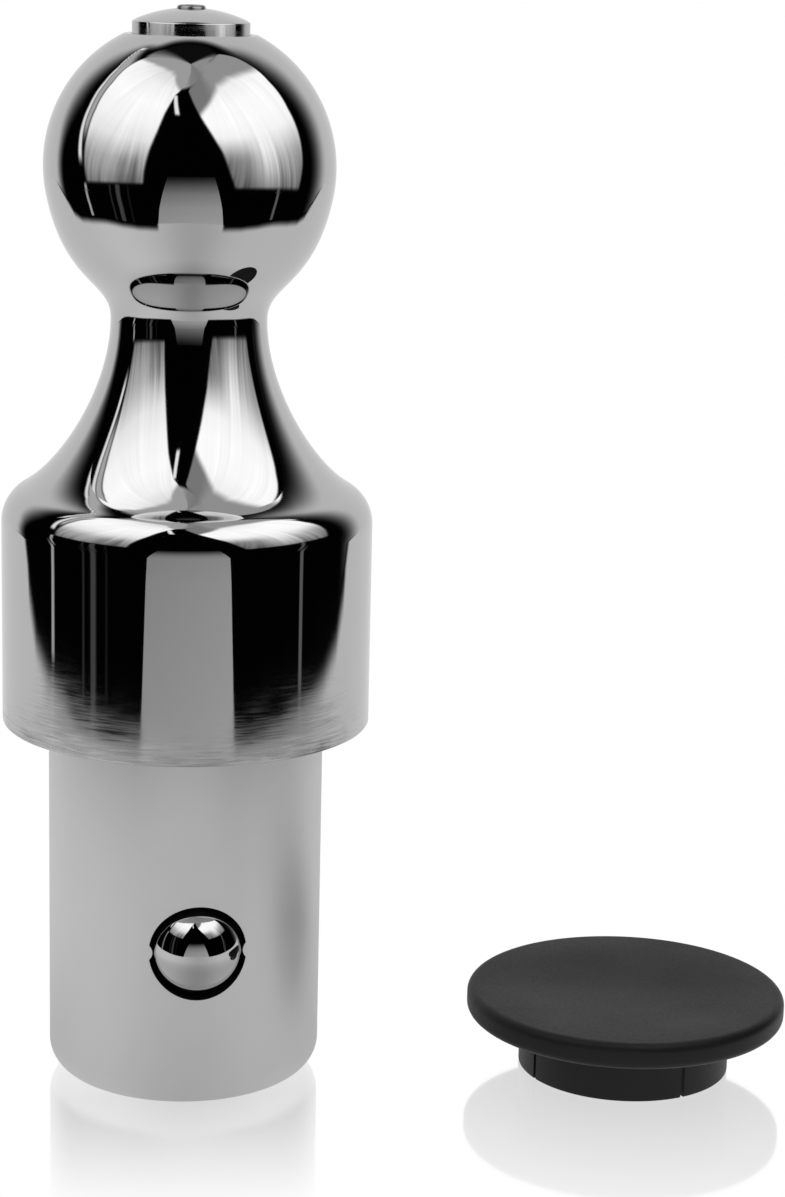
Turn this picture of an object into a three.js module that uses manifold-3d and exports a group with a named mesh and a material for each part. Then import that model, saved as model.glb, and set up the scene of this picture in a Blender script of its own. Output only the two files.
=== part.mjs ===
// Gooseneck hitch ball with push-button release, and the cover for the hole it drops into.
// Millimetres, +Z up. The origin is the centre of the shank's foot, and Z is the ball's axis.
import * as THREE from "three";
import { mergeVertices } from "three/addons/utils/BufferGeometryUtils.js";
import Module from "manifold-3d";

const wasm = await Module();
wasm.setup();

// ---- Driving dimensions ----
const GAP = 0.3; // room left between neighbouring pieces
const SEGMENTS = 36; // facets round every turned piece, all in the same phase

const BALL_DIAMETER = 58.74; // 2-5/16 in coupler ball
const SHANK_DIAMETER = 57.15; // 2-1/4 in
const SHOULDER_DIAMETER = 76.2; // 3 in
const NECK_DIAMETER = 31.75; // 1-1/4 in
const SEAT_Z = 76.2; // underside of the shoulder, which rests in the receiver
const SHOULDER_TOP_Z = 118.2; // where the shoulder's cylinder ends
const NECK_Z = 160; // slimmest place
const BALL_Z = 190.5; // ball centre, 4-1/2 in above the seat
const FLAT_Z = 216.7; // machined flat on top of the ball
const LEAD_IN = 6; // rounded edge of the foot
const SEAT_CHAMFER = 0.6;
const BORE_CHAMFER = 0.3;
const EDGE_CHAMFER = 0.5; // on the small turned pieces

// Blends of the forging: a round off the shoulder, then two free curves to the neck and to the ball
const SHOULDER_ROUND = { radius: 8.15, turn: 1.04 };
const FLARE_HANDLES = [9.45, 14.1];
const NECK_HANDLES = [7.6, 18.2];
const BALL_BLEND_ANGLE = -0.2; // the true sphere starts this far under its equator

// Bores, from the foot upwards
const PLUG_BORE_RADIUS = 17;
const PLUG_BORE_TOP = 6.3;
const GROOVE = { radius: 18.7, low: 1.5, high: 3.4 };
const SHANK_BORE_RADIUS = 15.875;
const SHANK_BORE_TOP = 56;
const BUSH_BORE_RADIUS = 9.1;
const BUSH_BORE_TOP = 84.6;
const ROD_BORE_RADIUS = 7.2;
const BUTTON_BORE_RADIUS = 12.1;
const BUTTON_BORE_FLOOR = 195.9;

// Locking balls in their cross pockets
const LOCK_BALL_DIAMETER = 19.05; // 3/4 in
const LOCK_BALL_Z = 34;
const LOCK_BALL_REACH = 23.55; // ball centre to the shank's axis, locked
const POCKET = { radius: 9.85, start: 5, beyond: 2 }; // cut from near the axis to past the shank's face
const MOUTH = { radius: 10.2, depth: 4 };
const STAKE = { radius: 2.2, tip: 9.35, root: 26.2 }; // upset metal that keeps the ball in

// Cam spool: a land, and a cone that backs the locking balls
const CAM_RATIO = 0.52; // inward travel of a locking ball per travel of the button
const SPOOL = { low: 24.5, landTop: 28.45, coneTop: 43.8, hubTop: 51.7, landRadius: 15.5 };

// Button, rod and what holds them together
const BUTTON = { radius: 11.75, low: 207.4, rimTop: 219.1, domeRadius: 27.5, domeTop: 221.85 };
const BUTTON_EDGE_WIDTH = 1; // chamfer between the rim and the dome
const SEAL_GROOVE = { floor: 10, low: 209.6, high: 212.2 };
const SEAL = { meanRadius: 11.1, wireRadius: 0.75 };
const BUTTON_SOCKET_TOP = 215;
const ROD = { radius: 6.25, threadRadius: 4.9, low: 15.8, shoulder: 52, high: 214.7 };
const SCREW = { radius: 1.6, low: 202, holeRadius: 1.9, holeLow: 201, seat: 220.4 };
const SCREW_HEAD = { radius: 3, corner: 221.9, crown: 1.8, crownZ: 222.27, top: 222.45 };
const SCREW_SOCKET = { flats: 2.5, depth: 0.7 };
const NUT = { flats: 16, chamfer: 0.9, low: 17.1, high: 22.1 };
const WASHER = { radius: 10.3, low: 22.4, high: 24.2 };
const BUSH = { boreRadius: 6.55, radius: 8.8, flangeRadius: 15.5, low: 52, flangeTop: 55.7, high: 84.3 };

// Return spring under the spool
const SPRING = { meanRadius: 11.8, wireRadius: 0.8, low: 6.3, high: 24.2, endTurns: 0.9, turns: 4.8 };
const SPRING_END_PITCH = 2;

// Foot: end plug and the ring that keeps it in
const PLUG = { radius: 16.7, bossRadius: 11.5, shelf: 3.6, high: 6 };
const RING = { radius: 18.4, innerRadius: 15.2, low: 1.85, thickness: 1.2, halfGap: 0.42 };
const RING_LUG = { radius: 2.3, holeRadius: 0.9, reach: 14.9, angle: 0.58 };

// Hole cover, standing beside the ball
const COVER_PLACE = [94, -12, 0];
const COVER = { radius: 34, under: 11.4, high: 17, edge: 1.8, dish: 1.9, dishRadius: 31 };
const COVER_PLUG = { radius: 22.5, wall: 2.2, roof: 13.4 };
const COVER_SLIT = { width: 1.3, top: 10.6, firstAngle: 20 };

// ---- Materials ----
const finish = (color, roughness, metalness) =>
  new THREE.MeshStandardMaterial({ color, roughness, metalness });

// ---- Geometry helpers ----
/** Merges the shared corners, drops slivers and turns every face outwards. */
function closed(geometry) {
  const bare = geometry.index ? geometry.toNonIndexed() : geometry.clone();
  bare.deleteAttribute("normal");
  bare.deleteAttribute("uv");
  const merged = mergeVertices(bare, 1e-4);
  const corners = merged.index.array;
  const kept = [];
  for (let i = 0; i < corners.length; i += 3) {
    const [a, b, c] = [corners[i], corners[i + 1], corners[i + 2]];
    if (a !== b && b !== c && c !== a) kept.push(a, b, c);
  }
  merged.setIndex(kept);
  if (signedVolume(merged) < 0) merged.setIndex(kept.reverse());
  return merged;
}

function signedVolume(geometry) {
  const place = geometry.attributes.position;
  const corners = geometry.index.array;
  const [a, b, c] = [new THREE.Vector3(), new THREE.Vector3(), new THREE.Vector3()];
  let sum = 0;
  for (let i = 0; i < corners.length; i += 3) {
    a.fromBufferAttribute(place, corners[i]);
    b.fromBufferAttribute(place, corners[i + 1]);
    c.fromBufferAttribute(place, corners[i + 2]);
    sum += a.dot(b.cross(c)) / 6;
  }
  return sum;
}

/** A piece turned about the Z axis from [radius, z] points. */
function turned(points, segments = SEGMENTS) {
  const profile = points.map(([radius, z]) => new THREE.Vector2(radius, z));
  return closed(new THREE.LatheGeometry(profile, segments).rotateX(Math.PI / 2));
}

/** The same, for a ring-shaped section that never touches the axis. */
const turnedRing = (points, segments) => turned([...points, points[0]], segments);

/** Points of an arc about [radius, z], from one angle to another. */
function arc([centreR, centreZ], radius, from, to, steps) {
  return Array.from({ length: steps + 1 }, (_, i) => {
    const angle = from + ((to - from) * i) / steps;
    return [centreR + radius * Math.cos(angle), centreZ + radius * Math.sin(angle)];
  });
}

/** Points of a cubic Bezier curve after its first one. */
function bezier(points, steps) {
  const curve = new THREE.CubicBezierCurve(...points.map(([r, z]) => new THREE.Vector2(r, z)));
  return curve.getPoints(steps).slice(1).map(({ x, y }) => [x, y]);
}

function toManifold(geometry) {
  const solid = new wasm.Mesh({
    numProp: 3,
    vertProperties: Float32Array.from(geometry.attributes.position.array),
    triVerts: Uint32Array.from(geometry.index.array),
  });
  return new wasm.Manifold(solid);
}

function fromManifold(manifold) {
  const { vertProperties, triVerts } = manifold.getMesh();
  const geometry = new THREE.BufferGeometry();
  geometry.setAttribute("position", new THREE.BufferAttribute(vertProperties, 3));
  geometry.setIndex(new THREE.BufferAttribute(triVerts, 1));
  return geometry;
}

function cut(geometry, tools) {
  const result = tools.reduce((left, tool) => left.subtract(toManifold(tool)), toManifold(geometry));
  return fromManifold(result);
}

function common(geometry, other) {
  return fromManifold(toManifold(geometry).intersect(toManifold(other)));
}

const assembly = new THREE.Group();

function addPiece(name, geometry, material) {
  geometry.computeVertexNormals();
  const mesh = new THREE.Mesh(geometry, material);
  mesh.name = name;
  assembly.add(mesh);
  return mesh;
}

// ---- Forging: ball, neck, shoulder and shank in one ----
function forgingOutline() {
  const shank = SHANK_DIAMETER / 2;
  const shoulder = SHOULDER_DIAMETER / 2;
  const neck = NECK_DIAMETER / 2;
  const ball = BALL_DIAMETER / 2;
  const foot = arc([shank - LEAD_IN, LEAD_IN], LEAD_IN, -Math.PI / 2, 0, 5);
  const { radius, turn } = SHOULDER_ROUND;
  const round = arc([shoulder - radius, SHOULDER_TOP_Z], radius, 0, turn, 5);
  const roundEnd = round.at(-1);
  const slope = [-Math.sin(turn), Math.cos(turn)];
  const flare = bezier([
    roundEnd,
    [roundEnd[0] + FLARE_HANDLES[0] * slope[0], roundEnd[1] + FLARE_HANDLES[0] * slope[1]],
    [neck, NECK_Z - FLARE_HANDLES[1]],
    [neck, NECK_Z],
  ], 7);
  const blend = BALL_BLEND_ANGLE;
  const ballStart = [ball * Math.cos(blend), BALL_Z + ball * Math.sin(blend)];
  const throat = bezier([
    [neck, NECK_Z],
    [neck, NECK_Z + NECK_HANDLES[0]],
    [ballStart[0] + NECK_HANDLES[1] * Math.sin(blend), ballStart[1] - NECK_HANDLES[1] * Math.cos(blend)],
    ballStart,
  ], 7);
  const flatAngle = Math.asin((FLAT_Z - BALL_Z) / ball);
  const sphere = arc([0, BALL_Z], ball, blend, flatAngle, 10).slice(1);
  return [
    ...foot,
    [shank, SEAT_Z],
    [shoulder - SEAT_CHAMFER, SEAT_Z],
    [shoulder, SEAT_Z + SEAT_CHAMFER],
    ...round,
    ...flare,
    ...throat,
    ...sphere,
  ];
}

function forgingBore() {
  const edge = BORE_CHAMFER;
  return [
    [BUTTON_BORE_RADIUS + edge, FLAT_Z],
    [BUTTON_BORE_RADIUS, FLAT_Z - edge],
    [BUTTON_BORE_RADIUS, BUTTON_BORE_FLOOR],
    [ROD_BORE_RADIUS, BUTTON_BORE_FLOOR],
    [ROD_BORE_RADIUS, BUSH_BORE_TOP],
    [BUSH_BORE_RADIUS, BUSH_BORE_TOP],
    [BUSH_BORE_RADIUS, SHANK_BORE_TOP],
    [SHANK_BORE_RADIUS, SHANK_BORE_TOP],
    [SHANK_BORE_RADIUS, PLUG_BORE_TOP],
    [PLUG_BORE_RADIUS, PLUG_BORE_TOP],
    [PLUG_BORE_RADIUS, GROOVE.high],
    [GROOVE.radius, GROOVE.high],
    [GROOVE.radius, GROOVE.low],
    [PLUG_BORE_RADIUS, GROOVE.low],
    [PLUG_BORE_RADIUS, edge],
    [PLUG_BORE_RADIUS + edge, 0],
  ];
}

/** The cutter for one ball pocket, pointing along -Y (side -1) or +Y (side 1). */
function pocketCutter(side) {
  const face = SHANK_DIAMETER / 2;
  const end = face + POCKET.beyond;
  const steps = [
    [0, POCKET.start],
    [POCKET.radius, POCKET.start],
    [POCKET.radius, face - MOUTH.depth],
    [MOUTH.radius, face - MOUTH.depth],
    [MOUTH.radius, end],
    [0, end],
  ];
  const bore = turned(steps);
  const stakeLength = end + 1 - STAKE.root;
  const stakes = [-1, 1].map((flank) => {
    const stake = new THREE.CylinderGeometry(STAKE.radius, STAKE.radius, stakeLength, 16);
    stake.rotateX(Math.PI / 2);
    stake.translate(flank * (STAKE.tip + STAKE.radius), 0, STAKE.root + stakeLength / 2);
    return closed(stake);
  });
  const cutter = cut(bore, stakes);
  cutter.rotateX((-side * Math.PI) / 2);
  cutter.translate(0, 0, LOCK_BALL_Z);
  return cutter;
}

const forging = cut(turnedRing([...forgingOutline(), ...forgingBore()]), [-1, 1].map(pocketCutter));
addPiece("hitch_ball_body", forging, finish(0xc9cbcd, 0.08, 1));

// ---- Plunger: button, screw, seal, rod, bush, spool, washer and nut ----
function buttonOutline() {
  const edgeR = BUTTON.radius - BUTTON_EDGE_WIDTH;
  const domeCentre = BUTTON.domeTop - BUTTON.domeRadius;
  const screwR = SCREW_HEAD.radius + GAP;
  const from = Math.acos(edgeR / BUTTON.domeRadius);
  const to = Math.acos(screwR / BUTTON.domeRadius);
  return [
    [ROD.radius + GAP, BUTTON.low],
    [BUTTON.radius - EDGE_CHAMFER, BUTTON.low],
    [BUTTON.radius, BUTTON.low + EDGE_CHAMFER],
    [BUTTON.radius, SEAL_GROOVE.low],
    [SEAL_GROOVE.floor, SEAL_GROOVE.low],
    [SEAL_GROOVE.floor, SEAL_GROOVE.high],
    [BUTTON.radius, SEAL_GROOVE.high],
    [BUTTON.radius, BUTTON.rimTop],
    ...arc([0, domeCentre], BUTTON.domeRadius, from, to, 3),
    [screwR, SCREW.seat],
    [SCREW.holeRadius, SCREW.seat],
    [SCREW.holeRadius, BUTTON_SOCKET_TOP],
    [ROD.radius + GAP, BUTTON_SOCKET_TOP],
  ];
}
addPiece("push_button", turnedRing(buttonOutline()), finish(0xc4c6c8, 0.12, 1));

const hexagon = (flats, height, low) => {
  const prism = new THREE.CylinderGeometry(flats / Math.sqrt(3), flats / Math.sqrt(3), height, 6);
  return closed(prism.rotateX(Math.PI / 2).translate(0, 0, low + height / 2));
};

const screw = turned([
  [0, SCREW.low],
  [SCREW.radius, SCREW.low],
  [SCREW.radius, SCREW.seat + GAP],
  [SCREW_HEAD.radius, SCREW.seat + GAP],
  [SCREW_HEAD.radius, SCREW_HEAD.corner],
  [SCREW_HEAD.crown, SCREW_HEAD.crownZ],
  [0, SCREW_HEAD.top],
], 24);
const { flats: socketFlats, depth: socketDepth } = SCREW_SOCKET;
const screwSocket = hexagon(socketFlats, 2 * socketDepth, SCREW_HEAD.top - socketDepth);
addPiece("button_screw", cut(screw, [screwSocket]), finish(0x8c8f93, 0.2, 1));

const seal = new THREE.TorusGeometry(SEAL.meanRadius, SEAL.wireRadius, 8, SEGMENTS);
seal.translate(0, 0, (SEAL_GROOVE.low + SEAL_GROOVE.high) / 2);
addPiece("button_seal", closed(seal), finish(0x1b1b1c, 0.7, 0));

const rod = turned([
  [0, ROD.low],
  [ROD.threadRadius - EDGE_CHAMFER, ROD.low],
  [ROD.threadRadius, ROD.low + EDGE_CHAMFER],
  [ROD.threadRadius, ROD.shoulder],
  [ROD.radius, ROD.shoulder],
  [ROD.radius, ROD.high - EDGE_CHAMFER],
  [ROD.radius - EDGE_CHAMFER, ROD.high],
  [SCREW.holeRadius, ROD.high],
  [SCREW.holeRadius, SCREW.holeLow],
  [0, SCREW.holeLow],
]);
addPiece("release_rod", rod, finish(0x9a9da0, 0.35, 1));

const bush = turnedRing([
  [BUSH.boreRadius, BUSH.low],
  [BUSH.flangeRadius, BUSH.low],
  [BUSH.flangeRadius, BUSH.flangeTop],
  [BUSH.radius, BUSH.flangeTop],
  [BUSH.radius, BUSH.high],
  [BUSH.boreRadius, BUSH.high],
]);
addPiece("rod_guide_bush", bush, finish(0xb08a4a, 0.4, 1));

const coneDrop = CAM_RATIO * (SPOOL.coneTop - SPOOL.landTop);
const hubRadius = SPOOL.landRadius - coneDrop;
const clampBore = ROD.threadRadius + GAP;
const spool = turnedRing([
  [clampBore, SPOOL.low],
  [SPOOL.landRadius - EDGE_CHAMFER, SPOOL.low],
  [SPOOL.landRadius, SPOOL.low + EDGE_CHAMFER],
  [SPOOL.landRadius, SPOOL.landTop],
  [hubRadius, SPOOL.coneTop],
  [hubRadius, SPOOL.hubTop],
  [clampBore, SPOOL.hubTop],
]);
addPiece("cam_spool", spool, finish(0x7f8388, 0.3, 1));

const washer = turnedRing([
  [clampBore, WASHER.low],
  [WASHER.radius, WASHER.low],
  [WASHER.radius, WASHER.high],
  [clampBore, WASHER.high],
]);
addPiece("spool_washer", washer, finish(0xa4a6a8, 0.4, 1));

const nutHeight = NUT.high - NUT.low;
const nutCorner = NUT.flats / Math.sqrt(3);
const nutChamfer = turnedRing([
  [clampBore, NUT.low],
  [NUT.flats / 2, NUT.low],
  [nutCorner, NUT.low + NUT.chamfer],
  [nutCorner, NUT.high - NUT.chamfer],
  [NUT.flats / 2, NUT.high],
  [clampBore, NUT.high],
]);
addPiece("lock_nut", common(hexagon(NUT.flats, nutHeight, NUT.low), nutChamfer), finish(0xa09468, 0.4, 1));

// ---- Return spring ----
class SpringCurve extends THREE.Curve {
  getPoint(t, target = new THREE.Vector3()) {
    const { meanRadius, wireRadius, low, high, endTurns, turns } = SPRING;
    const turn = t * turns;
    const foot = low + wireRadius;
    const head = high - wireRadius;
    const endRise = SPRING_END_PITCH * endTurns;
    const middle = (turn - endTurns) / (turns - 2 * endTurns);
    let z = foot + endRise + (head - foot - 2 * endRise) * middle;
    if (turn < endTurns) z = foot + SPRING_END_PITCH * turn;
    if (turn > turns - endTurns) z = head - SPRING_END_PITCH * (turns - turn);
    const angle = 2 * Math.PI * turn;
    return target.set(meanRadius * Math.cos(angle), meanRadius * Math.sin(angle), z);
  }
}
const wire = new THREE.Shape().absarc(0, 0, SPRING.wireRadius, 0, 2 * Math.PI);
const spring = new THREE.ExtrudeGeometry(wire, {
  curveSegments: 4,
  steps: 76,
  extrudePath: new SpringCurve(),
});
addPiece("return_spring", closed(spring), finish(0x6d7074, 0.35, 1));

// ---- Locking balls ----
for (const [name, side] of [["locking_ball_front", -1], ["locking_ball_rear", 1]]) {
  const ball = closed(new THREE.SphereGeometry(LOCK_BALL_DIAMETER / 2, 28, 16));
  addPiece(name, ball, finish(0xd2d4d6, 0.05, 1)).position.set(0, side * LOCK_BALL_REACH, LOCK_BALL_Z);
}

// ---- Foot closure ----
const plug = turned([
  [0, 0],
  [PLUG.bossRadius - EDGE_CHAMFER, 0],
  [PLUG.bossRadius, EDGE_CHAMFER],
  [PLUG.bossRadius, PLUG.shelf],
  [PLUG.radius, PLUG.shelf],
  [PLUG.radius, PLUG.high],
  [0, PLUG.high],
]);
addPiece("end_plug", plug, finish(0xa9abad, 0.45, 1));

/** Internal retaining ring: an open band with an eyed lug at each end. */
function retainingRing() {
  const middle = -Math.PI / 2; // the gap faces the front
  const band = new THREE.Shape();
  band.absarc(0, 0, RING.radius, middle + RING.halfGap, middle - RING.halfGap + 2 * Math.PI, false);
  band.absarc(0, 0, RING.innerRadius, middle - RING.halfGap + 2 * Math.PI, middle + RING.halfGap, true);
  band.closePath();
  const settings = { depth: RING.thickness, bevelEnabled: false, curveSegments: 26 };
  let ring = toManifold(closed(new THREE.ExtrudeGeometry(band, settings)));
  const places = [-1, 1].map((side) => middle + side * RING_LUG.angle);
  const disc = (radius, angle, spare) => {
    const shape = new THREE.CylinderGeometry(radius, radius, RING.thickness + 2 * spare, 14);
    shape.rotateX(Math.PI / 2);
    const reach = RING_LUG.reach;
    return closed(shape.translate(reach * Math.cos(angle), reach * Math.sin(angle), RING.thickness / 2));
  };
  for (const angle of places) ring = ring.add(toManifold(disc(RING_LUG.radius, angle, 0)));
  for (const angle of places) ring = ring.subtract(toManifold(disc(RING_LUG.holeRadius, angle, 1)));
  return fromManifold(ring);
}
addPiece("retaining_ring", retainingRing(), finish(0x55585c, 0.4, 1)).position.z = RING.low;

// ---- Hole cover ----
function coverOutline() {
  const { radius, under, high, edge, dish, dishRadius } = COVER;
  const steps = 6;
  const dished = Array.from({ length: steps + 1 }, (_, i) => {
    const r = dishRadius * (1 - i / steps);
    return [r, high - (dish * (1 + Math.cos((Math.PI * r) / dishRadius))) / 2];
  });
  const inner = COVER_PLUG.radius - COVER_PLUG.wall;
  return [
    [0, COVER_PLUG.roof],
    [inner, COVER_PLUG.roof],
    [inner, 0],
    [COVER_PLUG.radius - EDGE_CHAMFER, 0],
    [COVER_PLUG.radius, EDGE_CHAMFER],
    [COVER_PLUG.radius, under],
    ...arc([radius - edge, under + edge], edge, -Math.PI / 2, 0, 3),
    ...arc([radius - edge, high - edge], edge, 0, Math.PI / 2, 3),
    ...dished,
  ];
}

const slits = [0, 1, 2, 3].map((quarter) => {
  const angle = THREE.MathUtils.degToRad(COVER_SLIT.firstAngle + 90 * quarter);
  const reach = COVER_PLUG.radius - COVER_PLUG.wall / 2;
  const slit = new THREE.BoxGeometry(COVER_PLUG.wall + 2, COVER_SLIT.width, 2 * COVER_SLIT.top);
  return closed(slit.translate(reach, 0, 0).rotateZ(angle));
});
addPiece("hole_cover", cut(turned(coverOutline()), slits), finish(0x151515, 0.55, 0))
  .position.set(...COVER_PLACE);

export default assembly;
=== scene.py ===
"""Gooseneck hitch ball and its hole cover: fine meshes, procedural finishes, studio and camera."""
import math

import bpy
import bmesh
import numpy as np
from mathutils import Matrix, Vector


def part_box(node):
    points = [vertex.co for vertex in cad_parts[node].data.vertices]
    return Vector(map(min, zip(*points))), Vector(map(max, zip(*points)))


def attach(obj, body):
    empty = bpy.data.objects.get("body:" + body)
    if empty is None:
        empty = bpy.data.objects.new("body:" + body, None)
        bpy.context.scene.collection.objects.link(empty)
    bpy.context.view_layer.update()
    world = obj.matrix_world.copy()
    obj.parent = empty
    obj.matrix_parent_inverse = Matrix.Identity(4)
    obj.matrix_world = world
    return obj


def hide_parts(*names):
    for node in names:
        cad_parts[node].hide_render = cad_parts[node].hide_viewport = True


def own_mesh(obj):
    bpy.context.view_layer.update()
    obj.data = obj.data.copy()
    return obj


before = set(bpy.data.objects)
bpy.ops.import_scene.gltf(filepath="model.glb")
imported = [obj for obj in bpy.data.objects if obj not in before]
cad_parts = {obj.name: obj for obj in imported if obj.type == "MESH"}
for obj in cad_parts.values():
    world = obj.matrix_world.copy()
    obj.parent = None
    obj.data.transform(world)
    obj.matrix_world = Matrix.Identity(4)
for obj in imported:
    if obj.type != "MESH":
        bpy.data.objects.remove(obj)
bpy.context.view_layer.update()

MM = 0.001
ROUND = 192  # facets round the visible turned pieces
CHROME_SHINE = 0.55  # how much of the light the plating gives back
scene = bpy.context.scene

# ---------------------------------------------------------------- places read from the frame
BODY_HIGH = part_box("hitch_ball_body")[1]
BUTTON_LOW, BUTTON_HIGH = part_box("push_button")
SCREW_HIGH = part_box("button_screw")[1]
LOCK_LOW, LOCK_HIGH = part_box("locking_ball_front")
COVER_LOW, COVER_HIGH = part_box("hole_cover")
RING_LOW, RING_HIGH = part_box("retaining_ring")
SPRING_LOW, SPRING_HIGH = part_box("return_spring")

SHOULDER_R = BODY_HIGH.x / MM
BALL_Z = 190.5
BALL_R = 58.74 / 2
SHANK_R = 57.15 / 2
NECK_R = 31.75 / 2
SEAT_Z = 76.2
SHOULDER_TOP_Z = SEAT_Z + 42
NECK_Z = 160
FLAT_Z = 216.7
LEAD_IN = 6
LOCK_Z = (LOCK_LOW.z + LOCK_HIGH.z) / 2 / MM
LOCK_R = (LOCK_HIGH.x - LOCK_LOW.x) / 2 / MM
LOCK_REACH = -(LOCK_LOW.y + LOCK_HIGH.y) / 2 / MM
COVER_CENTRE = (COVER_LOW + COVER_HIGH) / 2
COVER_R = (COVER_HIGH.x - COVER_LOW.x) / 2 / MM
COVER_TOP = COVER_HIGH.z / MM
COVER_SLIT_ANGLE = 20


# ---------------------------------------------------------------- outlines, as (radius, z) in mm
def arc(centre, radius, start, end, steps):
    """Points of an arc about (radius, z), with its angles in radians."""
    angles = [start + (end - start) * i / steps for i in range(steps + 1)]
    return [(centre[0] + radius * math.cos(a), centre[1] + radius * math.sin(a)) for a in angles]


def bezier(start, handle_1, handle_2, end, steps):
    """Points of a cubic Bezier curve after its first one."""
    points = []
    for i in range(1, steps + 1):
        t = i / steps
        weights = ((1 - t) ** 3, 3 * (1 - t) ** 2 * t, 3 * (1 - t) * t * t, t**3)
        corners = (start, handle_1, handle_2, end)
        points.append(tuple(sum(w * c[k] for w, c in zip(weights, corners)) for k in (0, 1)))
    return points


def rounded(points, radius, steps=3, closed=True):
    """The outline with each corner sharper than 25 degrees rounded off."""
    out = []
    count = len(points)
    for i, point in enumerate(points):
        here = Vector(point)
        if not closed and i in (0, count - 1):
            out.append(tuple(here))
            continue
        before = Vector(points[i - 1]) - here
        after = Vector(points[(i + 1) % count]) - here
        turn = math.pi - before.angle(after)
        if turn < math.radians(25):
            out.append(tuple(here))
            continue
        reach = min(radius * math.tan(turn / 2), before.length * 0.45, after.length * 0.45)
        start = here + before.normalized() * reach
        end = here + after.normalized() * reach
        for k in range(steps + 1):
            t = k / steps
            out.append(tuple(start * (1 - t) ** 2 + here * 2 * t * (1 - t) + end * t * t))
    return out


# ---------------------------------------------------------------- meshes
def finish_mesh(name, mesh, materials, sharp_degrees=38):
    """Makes an object of a mesh in millimetres, smooth except at its sharp edges."""
    mesh.transform(Matrix.Scale(MM, 4))
    mesh.shade_smooth()
    mesh.set_sharp_from_angle(angle=math.radians(sharp_degrees))
    for face in mesh.polygons:
        face.use_smooth = abs(face.normal.z) < 0.99999
    for material in materials:
        mesh.materials.append(material)
    piece = bpy.data.objects.new(name, mesh)
    scene.collection.objects.link(piece)
    return piece


def lathe_mesh(name, outline, closed=False, segments=ROUND, phase=0.0):
    """A mesh turned about Z, from an outline that ends on the axis or closes on itself."""
    vertices, faces, rings = [], [], []
    angles = [phase + 2 * math.pi * k / segments for k in range(segments)]
    for radius, z in outline:
        if radius < 1e-6:
            rings.append([len(vertices)] * segments)
            vertices.append((0, 0, z))
            continue
        rings.append(list(range(len(vertices), len(vertices) + segments)))
        vertices += [(radius * math.cos(a), radius * math.sin(a), z) for a in angles]
    pairs = list(zip(rings, rings[1:] + (rings[:1] if closed else [])))
    for low, high in pairs[: len(rings) if closed else len(rings) - 1]:
        for k in range(segments):
            n = (k + 1) % segments
            corners = list(dict.fromkeys((low[k], low[n], high[n], high[k])))
            if len(corners) > 2:
                faces.append(corners)
    mesh = bpy.data.meshes.new(name)
    mesh.from_pydata(vertices, [], faces)
    tidy = bmesh.new()
    tidy.from_mesh(mesh)
    bmesh.ops.recalc_face_normals(tidy, faces=tidy.faces)
    tidy.to_mesh(mesh)
    tidy.free()
    return mesh


def carved(mesh, cutters):
    """The mesh with each cutter mesh taken away from it."""
    base = bpy.data.objects.new("carving", mesh)
    scene.collection.objects.link(base)
    helpers = []
    for cutter in cutters:
        helper = bpy.data.objects.new("cutter", cutter)
        scene.collection.objects.link(helper)
        helpers.append(helper)
        cut = base.modifiers.new("cut", "BOOLEAN")
        cut.operation = "DIFFERENCE"
        cut.solver = "EXACT"
        cut.object = helper
    shape = base.evaluated_get(bpy.context.evaluated_depsgraph_get())
    result = bpy.data.meshes.new_from_object(shape)
    for helper in [base, *helpers]:
        bpy.data.objects.remove(helper)
    return result


def place(piece, node, body):
    """Puts a piece on the body that it rides on and hides the CAD node that it stands for."""
    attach(piece, body)
    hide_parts(node)
    return piece


# ---------------------------------------------------------------- materials
def new_material(name, base, metallic, roughness):
    material = bpy.data.materials.new(name)
    material.use_nodes = True
    shader = material.node_tree.nodes["Principled BSDF"]
    shader.inputs["Base Color"].default_value = (*base, 1)
    shader.inputs["Metallic"].default_value = metallic
    shader.inputs["Roughness"].default_value = roughness
    return material, material.node_tree, shader


def add(tree, kind, **settings):
    """A node with its properties and unlinked inputs set."""
    node = tree.nodes.new(kind)
    for key, value in settings.items():
        if hasattr(node, key):
            setattr(node, key, value)
        else:
            node.inputs[key.replace("_", " ")].default_value = value
    return node


def object_place(tree):
    """The piece's own coordinates."""
    return add(tree, "ShaderNodeTexCoord").outputs["Object"]


def cylinder_place(tree, around, along):
    """Coordinates for noise that runs round the Z axis, with two scales, and the plain height."""
    source = add(tree, "ShaderNodeTexCoord")
    split = add(tree, "ShaderNodeSeparateXYZ")
    tree.links.new(source.outputs["Object"], split.inputs["Vector"])
    flat = add(tree, "ShaderNodeCombineXYZ")
    tree.links.new(split.outputs["X"], flat.inputs["X"])
    tree.links.new(split.outputs["Y"], flat.inputs["Y"])
    unit = add(tree, "ShaderNodeVectorMath", operation="NORMALIZE")
    tree.links.new(flat.outputs["Vector"], unit.inputs[0])
    turned = add(tree, "ShaderNodeVectorMath", operation="SCALE")
    turned.inputs["Scale"].default_value = around
    tree.links.new(unit.outputs["Vector"], turned.inputs[0])
    height = add(tree, "ShaderNodeMath", operation="MULTIPLY")
    height.inputs[1].default_value = along
    tree.links.new(split.outputs["Z"], height.inputs[0])
    joined = add(tree, "ShaderNodeCombineXYZ")
    pieces = add(tree, "ShaderNodeSeparateXYZ")
    tree.links.new(turned.outputs["Vector"], pieces.inputs["Vector"])
    tree.links.new(pieces.outputs["X"], joined.inputs["X"])
    tree.links.new(pieces.outputs["Y"], joined.inputs["Y"])
    tree.links.new(height.outputs["Value"], joined.inputs["Z"])
    return joined.outputs["Vector"], split.outputs["Z"]


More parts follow.
